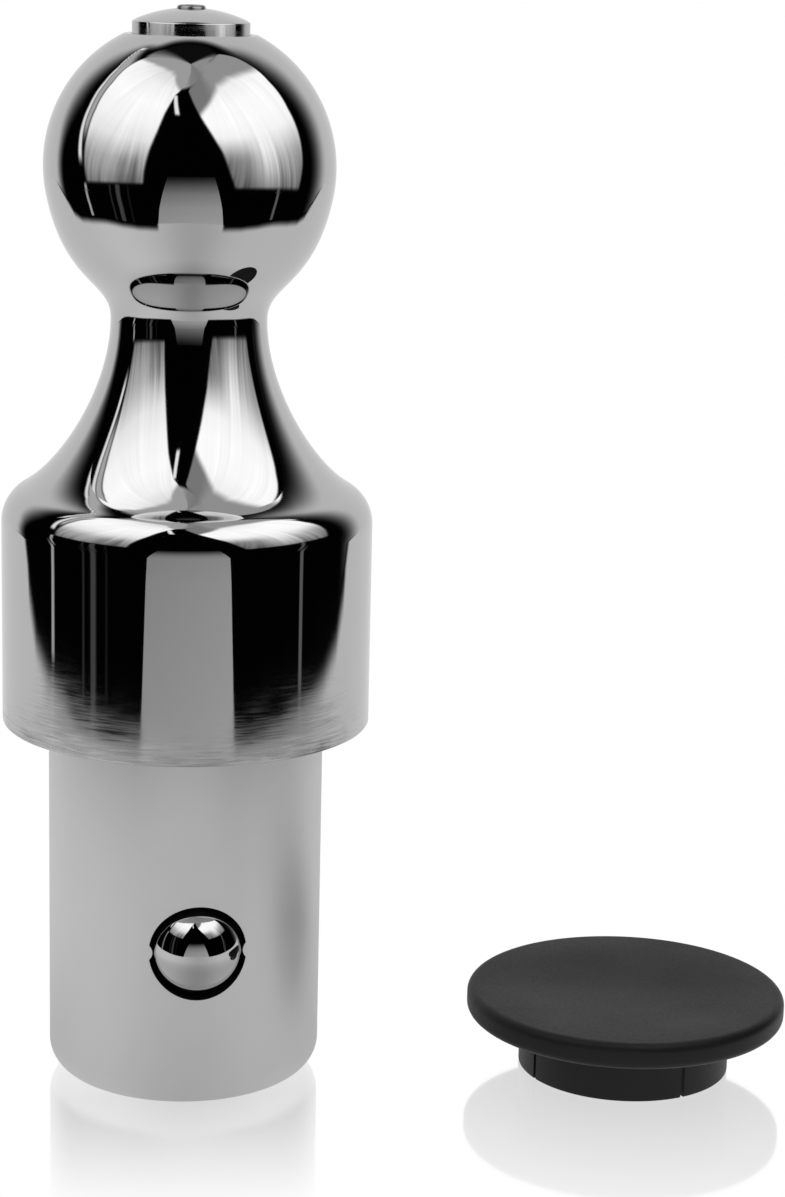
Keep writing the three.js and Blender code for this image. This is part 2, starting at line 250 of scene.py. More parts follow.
def noise(tree, vector, scale, detail=3.0, roughness=0.55):
    node = add(tree, "ShaderNodeTexNoise")
    node.inputs["Scale"].default_value = scale
    node.inputs["Detail"].default_value = detail
    node.inputs["Roughness"].default_value = roughness
    tree.links.new(vector, node.inputs["Vector"])
    return node.outputs["Fac"]


def remap(tree, value, low, high, to_low, to_high):
    node = add(tree, "ShaderNodeMapRange")
    for name, number in zip(("From Min", "From Max", "To Min", "To Max"), (low, high, to_low, to_high)):
        node.inputs[name].default_value = number
    tree.links.new(value, node.inputs["Value"])
    return node.outputs["Result"]


def combine(tree, operation, first, second):
    node = add(tree, "ShaderNodeMath", operation=operation)
    for socket, value in zip(node.inputs, (first, second)):
        if isinstance(value, (int, float)):
            socket.default_value = value
        else:
            tree.links.new(value, socket)
    return node.outputs["Value"]


def tint(tree, value, dark, light):
    """A colour between two, by a value from 0 to 1."""
    ramp = add(tree, "ShaderNodeMix", data_type="RGBA")
    ramp.inputs["A"].default_value = (*dark, 1)
    ramp.inputs["B"].default_value = (*light, 1)
    tree.links.new(value, ramp.inputs["Factor"])
    return ramp.outputs["Result"]


def bump(tree, shader, height, distance, strength=1.0):
    node = add(tree, "ShaderNodeBump")
    node.inputs["Distance"].default_value = distance
    node.inputs["Strength"].default_value = strength
    tree.links.new(height, node.inputs["Height"])
    tree.links.new(node.outputs["Normal"], shader.inputs["Normal"])


def stretch_across(tree, shader, amount):
    """Scatters reflections across the turning lines, which run round the Z axis."""
    shader.inputs["Anisotropic"].default_value = amount
    shader.inputs["Anisotropic Rotation"].default_value = 0.25
    tangent = add(tree, "ShaderNodeTangent", direction_type="RADIAL", axis="Z")
    tree.links.new(tangent.outputs["Tangent"], shader.inputs["Tangent"])


def chrome():
    """Mirror plating with faint polishing lines and slight unevenness."""
    material, tree, shader = new_material("chrome_mirror", (0.55, 0.55, 0.55), 1.0, 0.03)
    lines, _ = cylinder_place(tree, 0.8, 900)
    marks = noise(tree, lines, 1.0, 4.0)
    clouds = noise(tree, object_place(tree), 45.0, 2.0)
    rough = combine(tree, "ADD", remap(tree, marks, 0.35, 0.75, 0.012, 0.035),
                    remap(tree, clouds, 0.4, 0.7, 0.0, 0.02))
    tree.links.new(rough, shader.inputs["Roughness"])
    colour = tint(tree, clouds, (0.535, 0.535, 0.54), (0.565, 0.565, 0.565))
    tree.links.new(colour, shader.inputs["Base Color"])
    stretch_across(tree, shader, 0.6)
    bump(tree, shader, combine(tree, "ADD", combine(tree, "MULTIPLY", marks, 0.05), clouds), 0.00002)
    return material


def brushed_chrome():
    """Plating over turning marks, which grow from the shoulder's top to its lower edge."""
    material, tree, shader = new_material("chrome_turned", (0.55, 0.55, 0.55), 1.0, 0.05)
    wear_top, wear_full = 0.104, 0.0745
    fine, height = cylinder_place(tree, 8, 4200)
    coarse, _ = cylinder_place(tree, 5, 2000)
    broad, _ = cylinder_place(tree, 3, 45)
    fine_lines = combine(tree, "MULTIPLY", noise(tree, fine, 1.0, 3.0), 0.5)
    lines = combine(tree, "ADD", fine_lines, noise(tree, coarse, 1.0, 2.0))
    patches = remap(tree, noise(tree, broad, 1.0, 2.0), 0.3, 0.7, -0.004, 0.004)
    wear = remap(tree, combine(tree, "ADD", height, patches), wear_top, wear_full, 0.0, 1.0)
    strong = combine(tree, "POWER", wear, 3.0)
    depth = combine(tree, "MULTIPLY", combine(tree, "ADD", strong, 0.05), 0.7)
    uneven = combine(tree, "MULTIPLY", combine(tree, "SUBTRACT", lines, 0.75), depth)
    rough = combine(tree, "ADD", remap(tree, strong, 0.0, 1.0, 0.03, 0.34), uneven)
    tree.links.new(combine(tree, "MAXIMUM", rough, 0.02), shader.inputs["Roughness"])
    stretch_across(tree, shader, 0.93)
    bump(tree, shader, combine(tree, "MULTIPLY", lines, combine(tree, "ADD", strong, 0.03)), 0.000012)
    return material


def satin_shank():
    """Fine-ground and dull-plated steel, with a soft even sheen."""
    material, tree, shader = new_material("satin_shank", (0.64, 0.64, 0.64), 0.7, 0.44)
    grain = noise(tree, object_place(tree), 2600.0, 3.0)
    clouds = noise(tree, object_place(tree), 35.0, 3.0)
    tree.links.new(tint(tree, remap(tree, clouds, 0.3, 0.7, 0, 1), (0.62, 0.62, 0.62), (0.66, 0.66, 0.66)),
                   shader.inputs["Base Color"])
    tree.links.new(combine(tree, "ADD", remap(tree, grain, 0.3, 0.7, 0.4, 0.48),
                           remap(tree, clouds, 0.3, 0.7, -0.02, 0.02)), shader.inputs["Roughness"])
    bump(tree, shader, grain, 0.00001)
    return material


def shaded_bore():
    """Near-black metal inside the pockets and bores: painted shade for the recesses, with random stains."""
    # the near-black base colour is painted shade for the recesses
    material, tree, shader = new_material("bore_painted_shade", (0.012, 0.012, 0.012), 0.3, 0.5)
    stains = noise(tree, object_place(tree), 300.0, 4.0)
    colour = tint(tree, stains, (0.006, 0.006, 0.006), (0.02, 0.019, 0.018))
    tree.links.new(colour, shader.inputs["Base Color"])
    tree.links.new(remap(tree, stains, 0.3, 0.7, 0.4, 0.65), shader.inputs["Roughness"])
    bump(tree, shader, stains, 0.00003)
    return material


def ball_steel():
    """Lapped bearing steel."""
    material, tree, shader = new_material("bearing_mirror", (0.55, 0.55, 0.55), 1.0, 0.02)
    haze = noise(tree, object_place(tree), 220.0, 4.0)
    tree.links.new(remap(tree, haze, 0.3, 0.75, 0.01, 0.045), shader.inputs["Roughness"])
    tree.links.new(tint(tree, haze, (0.53, 0.53, 0.535), (0.57, 0.57, 0.57)), shader.inputs["Base Color"])
    bump(tree, shader, haze, 0.000003)
    return material


def turned_metal(name, base, roughness, lines_per_m=2200, depth=0.00001):
    """Bare or plated metal with turning lines round the Z axis."""
    material, tree, shader = new_material(name, base, 1.0, roughness)
    around, _ = cylinder_place(tree, 1.2, lines_per_m)
    marks = noise(tree, around, 1.0, 3.0)
    stains = noise(tree, object_place(tree), 140.0, 4.0)
    darker = tuple(c * 0.8 for c in base)
    tree.links.new(tint(tree, stains, darker, base), shader.inputs["Base Color"])
    tree.links.new(combine(tree, "ADD", remap(tree, marks, 0.3, 0.7, roughness - 0.08, roughness + 0.1),
                           remap(tree, stains, 0.3, 0.7, -0.04, 0.06)), shader.inputs["Roughness"])
    bump(tree, shader, marks, depth)
    return material


def rubber():
    material, tree, shader = new_material("seal_rubber", (0.02, 0.02, 0.02), 0.0, 0.65)
    grain = noise(tree, object_place(tree), 1800.0, 4.0)
    colour = tint(tree, grain, (0.012, 0.012, 0.012), (0.035, 0.035, 0.034))
    tree.links.new(colour, shader.inputs["Base Color"])
    tree.links.new(remap(tree, grain, 0.3, 0.7, 0.55, 0.8), shader.inputs["Roughness"])
    bump(tree, shader, grain, 0.00002)
    return material


def moulded_plastic():
    """Black polypropylene: fine moulded grain over slow, shallow waves."""
    material, tree, shader = new_material("moulded_plastic", (0.008, 0.008, 0.008), 0.0, 0.45)
    shader.inputs["Specular IOR Level"].default_value = 0.22
    grain = noise(tree, object_place(tree), 1500.0, 4.0, 0.6)
    waves = noise(tree, object_place(tree), 28.0, 1.5)
    colour = tint(tree, grain, (0.005, 0.005, 0.0053), (0.009, 0.009, 0.0094))
    tree.links.new(colour, shader.inputs["Base Color"])
    tree.links.new(combine(tree, "ADD", remap(tree, grain, 0.3, 0.7, 0.4, 0.5),
                           remap(tree, waves, 0.3, 0.7, -0.05, 0.06)), shader.inputs["Roughness"])
    bump(tree, shader, combine(tree, "ADD", combine(tree, "MULTIPLY", grain, 0.02), waves), 0.0008)
    return material


CHROME = chrome()
BRUSHED = brushed_chrome()
SATIN = satin_shank()
BORE_SHADE = shaded_bore()
BALL_STEEL = ball_steel()
TURNED_STEEL = turned_metal("turned_steel", (0.5, 0.5, 0.51), 0.3)
RIM = turned_metal("chrome_rim", (0.55, 0.55, 0.555), 0.09, 1000, 0.0000003)
SCREW_STEEL = turned_metal("screw_steel", (0.28, 0.28, 0.285), 0.28, 2200, 0.000002)
ZINC = turned_metal("zinc_plate", (0.62, 0.63, 0.64), 0.34, 1200)
SPRING_STEEL = turned_metal("spring_steel", (0.3, 0.31, 0.33), 0.35, 400)
BRONZE = turned_metal("bearing_bronze", (0.62, 0.43, 0.2), 0.35)
RUBBER = rubber()
PLASTIC = moulded_plastic()


# ---------------------------------------------------------------- forging
def forging_outline():
    """The outside of the forging, from the foot to the flat on the ball."""
    foot = arc((SHANK_R - LEAD_IN, LEAD_IN), LEAD_IN, -math.pi / 2, 0, 14)
    turn, radius = 1.04, 8.15
    shoulder = arc((SHOULDER_R - radius, SHOULDER_TOP_Z), radius, 0, turn, 22)
    x, z = shoulder[-1]
    slope = (-math.sin(turn), math.cos(turn))
    pull, neck_pull = 9.45, 14.1
    flare = bezier((x, z), (x + pull * slope[0], z + pull * slope[1]), (NECK_R, NECK_Z - neck_pull),
                   (NECK_R, NECK_Z), 44)
    blend, throat_pull, ball_pull = -0.2, 7.6, 18.2
    start = (BALL_R * math.cos(blend), BALL_Z + BALL_R * math.sin(blend))
    handle = (start[0] + ball_pull * math.sin(blend), start[1] - ball_pull * math.cos(blend))
    throat = bezier((NECK_R, NECK_Z), (NECK_R, NECK_Z + throat_pull), handle, start, 44)
    sphere = arc((0, BALL_Z), BALL_R, blend, math.asin((FLAT_Z - BALL_Z) / BALL_R), 64)[1:]
    edge = 0.6
    low_edge = arc((SHOULDER_R - edge, SEAT_Z + edge), edge, -math.pi / 2, 0, 5)
    wall = [(SHOULDER_R, SEAT_Z + edge + (SHOULDER_TOP_Z - SEAT_Z - edge) * k / 8) for k in range(1, 8)]
    return [*foot, (SHANK_R, SEAT_Z), *low_edge, *wall, *shoulder, *flare, *throat, *sphere]


def forging_bore():
    """The inside of the forging, from the flat down to the foot."""
    button_r, rod_r, bush_r, spool_r, plug_r, groove_r = 12.1, 7.2, 9.1, 15.875, 17, 18.7
    button_floor, bush_top, bush_floor, plug_seat, groove_top, groove_low = 195.9, 84.6, 56, 6.3, 3.4, 1.5
    sharp = [(button_r, FLAT_Z), (button_r, button_floor), (rod_r, button_floor), (rod_r, bush_top),
             (bush_r, bush_top), (bush_r, bush_floor), (spool_r, bush_floor), (spool_r, plug_seat),
             (plug_r, plug_seat), (plug_r, groove_top), (groove_r, groove_top), (groove_r, groove_low),
             (plug_r, groove_low), (plug_r, 0)]
    # a point past each end gives the end corners two sides, so that they are rounded too
    past_flat, past_foot = (13, FLAT_Z), (22, 0)
    return rounded([past_flat, *sharp, past_foot], 0.3, 5, closed=False)[1:-1]


def pocket_cutter(side):
    """What is taken out of the shank for one locking ball: a stepped hole between two stakes."""
    mouth, tip, radius, root = 10.0, 9.25, 2.1, 26.2
    hole, deep, outside = 9.85, 5, SHANK_R + 3
    steps = [(0, deep), (hole, deep), (hole, SHANK_R - 4), (mouth, SHANK_R - 3.7), (mouth, outside),
             (0, outside)]
    bore = lathe_mesh("pocket", steps, segments=128)
    stakes = []
    for flank in (-1, 1):
        stake = lathe_mesh("stake", [(0, root), (radius, root), (radius, 40), (0, 40)], segments=48)
        stake.transform(Matrix.Translation((flank * (tip + radius), 0, 0)))
        stakes.append(stake)
    cutter = carved(bore, stakes)
    cutter.transform(Matrix.Translation((0, 0, LOCK_Z)) @ Matrix.Rotation(-side * math.pi / 2, 4, "X"))
    return cutter


def build_forging():
    mesh = lathe_mesh("forging", [*forging_outline(), *forging_bore()], closed=True, segments=256)
    mesh = carved(mesh, [pocket_cutter(-1), pocket_cutter(1)])
    piece = finish_mesh("forging", mesh, [CHROME, BRUSHED, SATIN, BORE_SHADE], 20)
    chrome_at, brushed_at, satin_at, shade_at = range(4)
    button_bore_z, foot_bore_r = 213, 16.5
    for face in mesh.polygons:
        centre = face.center / MM
        out = math.hypot(centre.x, centre.y)
        outward = face.normal.x * centre.x + face.normal.y * centre.y > -1e-4
        if centre.z > SEAT_Z + 0.05 and (outward or centre.z > button_bore_z):
            face.material_index = chrome_at if centre.z > SHOULDER_TOP_Z else brushed_at
        elif outward and (out > SHANK_R - 0.06 or centre.z < LEAD_IN) and out > foot_bore_r:
            face.material_index = satin_at
        elif abs(centre.z - SEAT_Z) < 0.05 and out > SHANK_R:
            face.material_index = brushed_at
        # faces inside the bores and pockets get the near-black painted shade
        else:
            face.material_index = shade_at
    place(piece, "hitch_ball_body", "hitch_ball")


build_forging()


# ---------------------------------------------------------------- button and plunger
def build_button():
    """A domed button, grooved for its seal, sunk for its screw and hollow for the rod."""
    dome_top, dome_r, r = BUTTON_HIGH.z / MM, 27.5, BUTTON_HIGH.x / MM
    low, rim, edge = BUTTON_LOW.z / MM, 219.1, 0.8
    groove_r, groove_low, groove_top = 10, 209.6, 212.2
    sink_r, sink_z, screw_r, rod_r, rod_top = 3.2, 220.4, 1.9, 6.55, 215
    dome_top += dome_r - math.sqrt(dome_r**2 - 3.3**2)
    centre = dome_top - dome_r
    dome = arc((0, centre), dome_r, math.acos((r - 1) / dome_r), math.acos(sink_r / dome_r), 20)
    outline = [(rod_r, low), (r - edge, low), (r, low + edge), (r, groove_low), (groove_r, groove_low),
               (groove_r, groove_top), (r, groove_top), (r, rim), *dome, (sink_r, sink_z), (screw_r, sink_z),
               (screw_r, rod_top), (rod_r, rod_top)]
    mesh = lathe_mesh("button", rounded(outline, 0.22, 5), closed=True)
    piece = finish_mesh("button", mesh, [CHROME, RIM], 25)
    for face in mesh.polygons:
        face.material_index = int(abs(face.normal.z) < 0.2 and face.center.z / MM > 212)
    place(piece, "push_button", "plunger")


def build_screw():
    """A screw with a low crowned head, 0.1 mm higher than the CAD's, and a round socket."""
    high, low, under, shank_r, head_r = SCREW_HIGH.z / MM + 0.1, 202, 220.7, 1.6, 2.85
    drops = ((head_r, 0.75), (2.82, 0.45), (2.7, 0.22), (2.45, 0.09), (2, 0.03))
    crown = [(r, high - drop) for r, drop in drops]
    socket = [(1.2, high), (1.1, high - 0.9), (0, high - 0.9)]
    outline = [(0, low), (shank_r, low), (shank_r, under), (head_r, under), *crown, *socket]
    piece = finish_mesh("button_screw_fine", lathe_mesh("screw", outline, segments=96), [SCREW_STEEL], 50)
    place(piece, "button_screw", "plunger")


def turned_piece(name, node, body, outline, material, closed=True):
    """A plain turned piece with its corners rounded by 0.2 mm."""
    mesh = lathe_mesh(name, rounded(outline, 0.2, closed=closed), closed=closed, segments=128)
    place(finish_mesh(name, mesh, [material], 50), node, body)


build_button()
build_screw()
seal_ring = arc((11.1, 210.9), 0.75, 0, 2 * math.pi, 20)[:-1]
turned_piece("wiper_seal", "button_seal", "plunger", seal_ring, RUBBER)
turned_piece("rod", "release_rod", "plunger",
             [(0, 15.8), (4.3, 15.8), (4.9, 16.4), (4.9, 52), (6.25, 52), (6.25, 214.2), (5.75, 214.7),
              (1.9, 214.7), (1.9, 201), (0, 201)], TURNED_STEEL, closed=False)
turned_piece("guide_bush", "rod_guide_bush", "hitch_ball",
             [(6.55, 52), (15.5, 52), (15.5, 55.7), (8.8, 55.7), (8.8, 84.3), (6.55, 84.3)], BRONZE)
turned_piece("spool", "cam_spool", "plunger",
             [(5.2, 24.5), (15.1, 24.5), (15.5, 24.9), (15.5, 28.45), (7.52, 43.8), (7.52, 51.7),
              (5.2, 51.7)], TURNED_STEEL)
turned_piece("clamp_washer", "spool_washer", "plunger",
             [(5.2, 22.4), (10.3, 22.4), (10.3, 24.2), (5.2, 24.2)], ZINC)
turned_piece("foot_plug", "end_plug", "hitch_ball",
             [(0, 0), (11.1, 0), (11.5, 0.4), (11.5, 3.6), (16.7, 3.6), (16.7, 6), (0, 6)], ZINC,
             closed=False)


def curve_mesh(curve):
    """The mesh that a curve makes."""
    helper = bpy.data.objects.new("curve", curve)
    scene.collection.objects.link(helper)
    shape = helper.evaluated_get(bpy.context.evaluated_depsgraph_get())
    mesh = bpy.data.meshes.new_from_object(shape)
    bpy.data.objects.remove(helper)
    return mesh


def build_nut():
    """A six-sided nut: a chamfered ring with a flat wall taken off each side."""
    outline = [(5.2, 17.1), (8, 17.1), (9.3, 17.95), (9.3, 21.25), (8, 22.1), (5.2, 22.1)]
    mesh = lathe_mesh("nut", outline, closed=True, segments=96)
    half_across = 8
    walls = []
    for side in range(6):
        wall = lathe_mesh("flat", [(0, 10), (30, 10), (30, 30), (0, 30)], segments=4, phase=math.pi / 4)
        reach = half_across + 30 / math.sqrt(2)
        turn = Matrix.Rotation(math.radians(60 * side), 4, "Z")
        wall.transform(turn @ Matrix.Translation((reach, 0, 0)))
        walls.append(wall)
    piece = finish_mesh("jam_nut", carved(mesh, walls), [ZINC], 30)
    place(piece, "lock_nut", "plunger")


def build_spring():
    """A coil with a close turn at each end."""
    wire, mean, turns, end_turns, pitch = 0.8, 11.8, 4.8, 0.9, 2.0
    foot, head = SPRING_LOW.z / MM + wire, SPRING_HIGH.z / MM - wire
    curve = bpy.data.curves.new("spring", "CURVE")
    curve.dimensions = "3D"
    curve.bevel_depth = wire
    curve.bevel_resolution = 6
    curve.use_fill_caps = True
    count = 320
    spline = curve.splines.new("POLY")
    spline.points.add(count)
    for i in range(count + 1):
        turn = turns * i / count
        middle = (turn - end_turns) / (turns - 2 * end_turns)
        rise = pitch * end_turns
        z = foot + rise + (head - foot - 2 * rise) * min(1, max(0, middle))
        if turn < end_turns:
            z = foot + pitch * turn
        elif turn > turns - end_turns:
            z = head - pitch * (turns - turn)
        angle = 2 * math.pi * turn
        spline.points[i].co = (mean * math.cos(angle), mean * math.sin(angle), z, 1)
    piece = finish_mesh("coil_spring", curve_mesh(curve), [SPRING_STEEL])
    place(piece, "return_spring", "hitch_ball")
    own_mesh(piece)


def build_retaining_ring():
    """An open band with an eyed lug at each end, bevelled all round."""
    outer, inner, gap, lug_r, eye_r, lug_reach, lug_at = 18.4, 15.2, 0.42, 2.3, 0.9, 14.9, 0.58
    bevel = 0.12
    low, high = RING_LOW.z / MM, RING_HIGH.z / MM
    middle = -math.pi / 2
    start, end = middle + gap, middle - gap + 2 * math.pi
    curve = bpy.data.curves.new("ring", "CURVE")
    curve.dimensions = "2D"
    curve.fill_mode = "BOTH"
    curve.extrude = (high - low) / 2 - bevel
    curve.bevel_depth = bevel
    curve.bevel_resolution = 2

    def lug(angle, begin, finish):
        centre = (lug_reach * math.cos(angle), lug_reach * math.sin(angle))
        return arc(centre, lug_r - bevel, begin, finish, 24)

    lug_1 = middle + lug_at
    lug_2 = middle - lug_at + 2 * math.pi
    band = arc((0, 0), outer - bevel, start + 0.02, end - 0.02, 120)
    near_end = lug(lug_2, lug_2 + 0.6, lug_2 - math.pi - 0.35)
    inside = arc((0, 0), inner + bevel, end - 0.33, start + 0.33, 100)
    near_start = lug(lug_1, lug_1 + math.pi + 0.35, lug_1 - 0.6)
    outline = [*band, *near_end, *inside, *near_start]
    eyes = [arc((lug_reach * math.cos(a), lug_reach * math.sin(a)), eye_r + bevel, 0, 2 * math.pi, 24)[:-1]
            for a in (lug_1, lug_2)]
    for points in [outline, *eyes]:
        spline = curve.splines.new("POLY")
        spline.points.add(len(points) - 1)
        for point, (x, y) in zip(spline.points, points):
            point.co = (x, y, 0, 1)
        spline.use_cyclic_u = True
    mesh = curve_mesh(curve)
    mesh.transform(Matrix.Translation((0, 0, (low + high) / 2)))
    piece = finish_mesh("snap_ring", mesh, [SPRING_STEEL], 50)
    place(piece, "retaining_ring", "hitch_ball")


build_nut()
build_spring()
build_retaining_ring()


# ---------------------------------------------------------------- locking balls
def build_locking_ball(name, node, body, side):
    """A round ball, 0.07 mm larger in radius than the faceted one and 0.2 mm further out."""
    radius = LOCK_R + 0.07
    meridian = arc((0, 0), radius, -math.pi / 2, math.pi / 2, 64)
    mesh = lathe_mesh(name, [(0, -radius), *meridian[1:-1], (0, radius)], segments=128)
    mesh.transform(Matrix.Translation((0, side * (LOCK_REACH + 0.2), LOCK_Z)))
    place(finish_mesh(name, mesh, [BALL_STEEL], 60), node, body)


build_locking_ball("lock_ball_front", "locking_ball_front", "front_locking_ball", -1)
build_locking_ball("lock_ball_rear", "locking_ball_rear", "rear_locking_ball", 1)


# ---------------------------------------------------------------- hole cover
def build_cover():
    """A dished disc with a round plug under it, which four slits part."""
    plug_r, wall, roof, under, edge, dish, dish_r = 22.5, 2.2, 13.4, 11.4, 1.8, 1.9, 31
    inner = plug_r - wall
    dished = []
    for k in range(41):
        r = dish_r * (1 - k / 40)
        dished.append((r, COVER_TOP - dish * (1 + math.cos(math.pi * r / dish_r)) / 2))
    rim = [*arc((COVER_R - edge, under + edge), edge, -math.pi / 2, 0, 8),
           *arc((COVER_R - edge, COVER_TOP - edge), edge, 0, math.pi / 2, 8)]
    plug = rounded([(0, roof), (inner, roof), (inner, 0), (plug_r, 0), (plug_r, under), (plug_r + 1, under)],
                   0.4, closed=False)
    mesh = lathe_mesh("cover", [*plug[:-1], *rim, *dished], segments=256)
    slits = []
    width, top, first = 0.9, 10.6, COVER_SLIT_ANGLE
    for quarter in range(4):
        slit = lathe_mesh("slit", [(0, -top), (1, -top), (1, top), (0, top)], segments=4, phase=math.pi / 4)
        slit.transform(Matrix.Diagonal((4 / math.sqrt(2), width / math.sqrt(2), 1, 1)))
        slit.transform(Matrix.Translation((plug_r - wall / 2, 0, 0)))
        slit.transform(Matrix.Rotation(math.radians(first + 90 * quarter), 4, "Z"))
        slits.append(slit)
    mesh = carved(mesh, slits)
    mesh.transform(Matrix.Translation((COVER_CENTRE.x / MM, COVER_CENTRE.y / MM, 0)))
    place(finish_mesh("cover", mesh, [PLASTIC], 40), "hole_cover", "cover")


build_cover()

# ---------------------------------------------------------------- camera
CAMERA_PLACE = Vector((-0.0592, -0.5939, 0.2405))
YAW, PITCH, ROLL = (math.radians(a) for a in (9.785, 13.042, 1.342))
CAMERA_UP = math.atan2(CAMERA_PLACE.z - BALL_Z * MM, CAMERA_PLACE.xy.length)
camera_data = bpy.data.cameras.new("camera")
camera_data.sensor_width = 36
camera_data.lens = 88.64
camera_data.clip_start = 0.01
camera = bpy.data.objects.new("camera", camera_data)
turn = (Matrix.Rotation(-YAW, 4, "Z") @ Matrix.Rotation(math.pi / 2 - PITCH, 4, "X")
        @ Matrix.Rotation(ROLL, 4, "Z"))
camera.matrix_world = Matrix.Translation(CAMERA_PLACE) @ turn
scene.collection.objects.link(camera)
scene.camera = camera


# ---------------------------------------------------------------- studio
def to_linear(value):
    """Light from a display brightness of 0 to 255."""
    return (np.clip(value, 0, None) / 255) ** 2.2


def step(value, start, end):
    """0 before start and 1 after end, smoothly."""
    t = np.clip((value - start) / (end - start), 0, 1)
    return t * t * (3 - 2 * t)


def along(value, places, values):
    """A value read off straight lines between a few places."""
    return np.interp(value, places, values)


def streaks(azimuth, elevation):
    """Folds in the softboxes' cloth: light and dark bands, mostly upright."""
    a = np.radians(azimuth)
    bend = 0.35 * np.sin(2.1 * np.radians(elevation) + 3 * a)
    waves = ((13, 0.4, 0.5), (31, 1.9, 0.45), (53, 3.2, 0.4), (97, 0.8, 0.3), (141, 2.2, 0.2))
    folds = sum(size * np.sin(k * (a + bend * 0.3) + turn) for k, turn, size in waves)
    return folds * (0.6 + 0.4 * np.sin(7 * a + 5 * np.radians(elevation)))


def backdrop(a, e):
    """The pale paper behind the object."""
    left_start = along(e, [-20, 5, 25, 45, 55], [114, 114, 107, 118, 135])
    left_end = along(e, [-20, 5, 25, 45, 55], [126, 130, 146, 150, 156])
    right_start = along(e, [-20, 5, 25, 45, 60], [103, 104, 104, 104, 118])
    right_end = along(e, [-20, 5, 25, 45, 60], [132, 136, 142, 152, 160])
    left = step(-a, left_start, left_end) * (1 - step(e, 57, 67))
    right = step(a, right_start, right_end) * (1 - step(e, 57, 67))
    return 172 * np.maximum(left, right)


def left_softbox(a, e, room):
    inner = along(e, [-10, 0, 15, 30, 45, 60, 66, 74, 82], [-37, -36, -33, -29, -26, -21, -14, -8, 0])
    outer = along(e, [-9, 0, 15, 30, 45, 55, 62], [-88, -90, -93, -98, -107, -119, -126])
    top = along(a, [-128, -110, -90, -60, -40, -25, -12], [58, 68, 74, 77, 75, 68, 62])
    shape = step(a, outer - 1.5, outer + 1.5) * (1 - step(a, inner - 1.5, inner + 1.5))
    shape *= step(e, -10.5, -7.5)
    glow = along(e, [-9, 0, 8, 14, 22, 34, 50, 64, 76], [118, 150, 168, 192, 225, 243, 250, 240, 215])
    glow = glow - (6 + 20 * (1 - step(e, 2, 26))) * streaks(a, e)
    glow -= 22 * (1 - step(np.abs(a + 50), 6, 12)) * (1 - step(e, 2, 16))
    glow = glow + (152 - glow) * step(e, top - 2, top + 3)
    room = room + shape * (glow - room)
    # bright edge of the cloth, with the darker side of the box next to it
    rim = along(e, [0, 10, 28, 40, 47, 50, 53], [-94, -98, -106, -114, -122, -131, -143])
    side = step(a, rim + 2, rim + 3.5) * (1 - step(a, outer - 2, outer))
    side = side * step(e, 8, 22) * (1 - step(e, 53, 60))
    room = room + side * (160 - room)
    edge = (1 - step(np.abs(a - rim), 1.0, 3.0)) * step(e, -2, 6) * (1 - step(e, 54, 58))
    return room + edge * (215 - room)


def right_softbox(a, e, room):
    inner = along(e, [-12, 0, 15, 30, 45, 60, 68], [36, 31, 26, 18, 9, 0, -6])
    outer = along(e, [-12, 0, 15, 30, 45, 55, 62, 72], [95, 98, 101, 104, 112, 122, 131, 142])
    top = along(a, [5, 15, 30, 45, 75, 100, 122], [40, 48, 58, 65, 66, 60, 50])
    dome = along(a, [-6, 0, 20, 40, 60, 90, 120, 136, 143], [62, 68, 76, 79, 82, 83, 78, 72, 64])
    shape = step(a, inner - 1.5, inner + 1.5) * (1 - step(a, outer - 1.5, outer + 1.5))
    shape *= step(e, -13, -9.5) * (1 - step(e, dome - 1.5, dome + 1.5))
    glow = along(e, [-12, 0, 8, 16, 26, 36, 50, 62], [128, 178, 205, 228, 243, 250, 250, 240])
    dim = along(a, [30, 40, 47, 54, 60, 68, 78, 86, 96], [0.6, 0.62, 0.68, 0.88, 1, 1, 0.88, 0.78, 0.74])
    glow = glow * (dim + (1 - dim) * step(e, 6, 28))
    glow = glow - (6 + 20 * (1 - step(e, 2, 30))) * streaks(a + 40, e)
    above = 116 + 24 * step(a, 18, 42)
    glow = glow + (above - glow) * step(e, top - 3, top + 5)
    return room + shape * (glow - room)


def studio(azimuth, elevation):
    """Brightness of the room round the ball, by direction: azimuth 0 faces the camera, right is positive."""
    a, e = azimuth, elevation
    room = np.maximum(8.0, backdrop(a, e))
    ceiling = along(a, [-150, -130, -90, -60, -40, -15, 0, 25, 50, 130, 145],
                    [20, 130, 150, 172, 195, 165, 125, 118, 135, 138, 20])
    low = along(a, [-150, -130, -30, -12, 0, 30, 60, 120, 140, 160], [66, 62, 66, 66, 68, 76, 80, 78, 70, 66])
    room = np.maximum(room, ceiling * step(e, low - 2, low + 2))
    room = left_softbox(a, e, room)
    room = right_softbox(a, e, room)
    gap = (1 - step(np.abs(a + 16.5 + (e - 52) * 0.45), 1.5, 3.2)) * step(e, 43, 45.5) * (1 - step(e, 59, 61))
    room = room + gap * (225 - room)
    # light stands: azimuth, half width and brightness
    stands = ((-90, 1.4, 150), (-59, 2.6, 62), (-66, 1.2, 40), (74, 1.5, 84), (-50, 1.0, 26))
    for middle, width, light in stands:
        stand = (1 - step(np.abs(a - middle), width * 0.5, width)) * step(-e, 8, 11)
        room = np.maximum(room, stand * light)
    return room


TABLE_DROP = 0.0006
CARD_AZIMUTH = 0.8
EDGE_AZIMUTH = [0, 30, 45, 60, 75, 90, 102, 110, 116, 122, 130, 180]
EDGE_REACH = [0.289, 0.289, 0.303, 0.332, 0.378, 0.415, 0.46, 0.54, 0.7, 1.0, 1.45, 1.45]


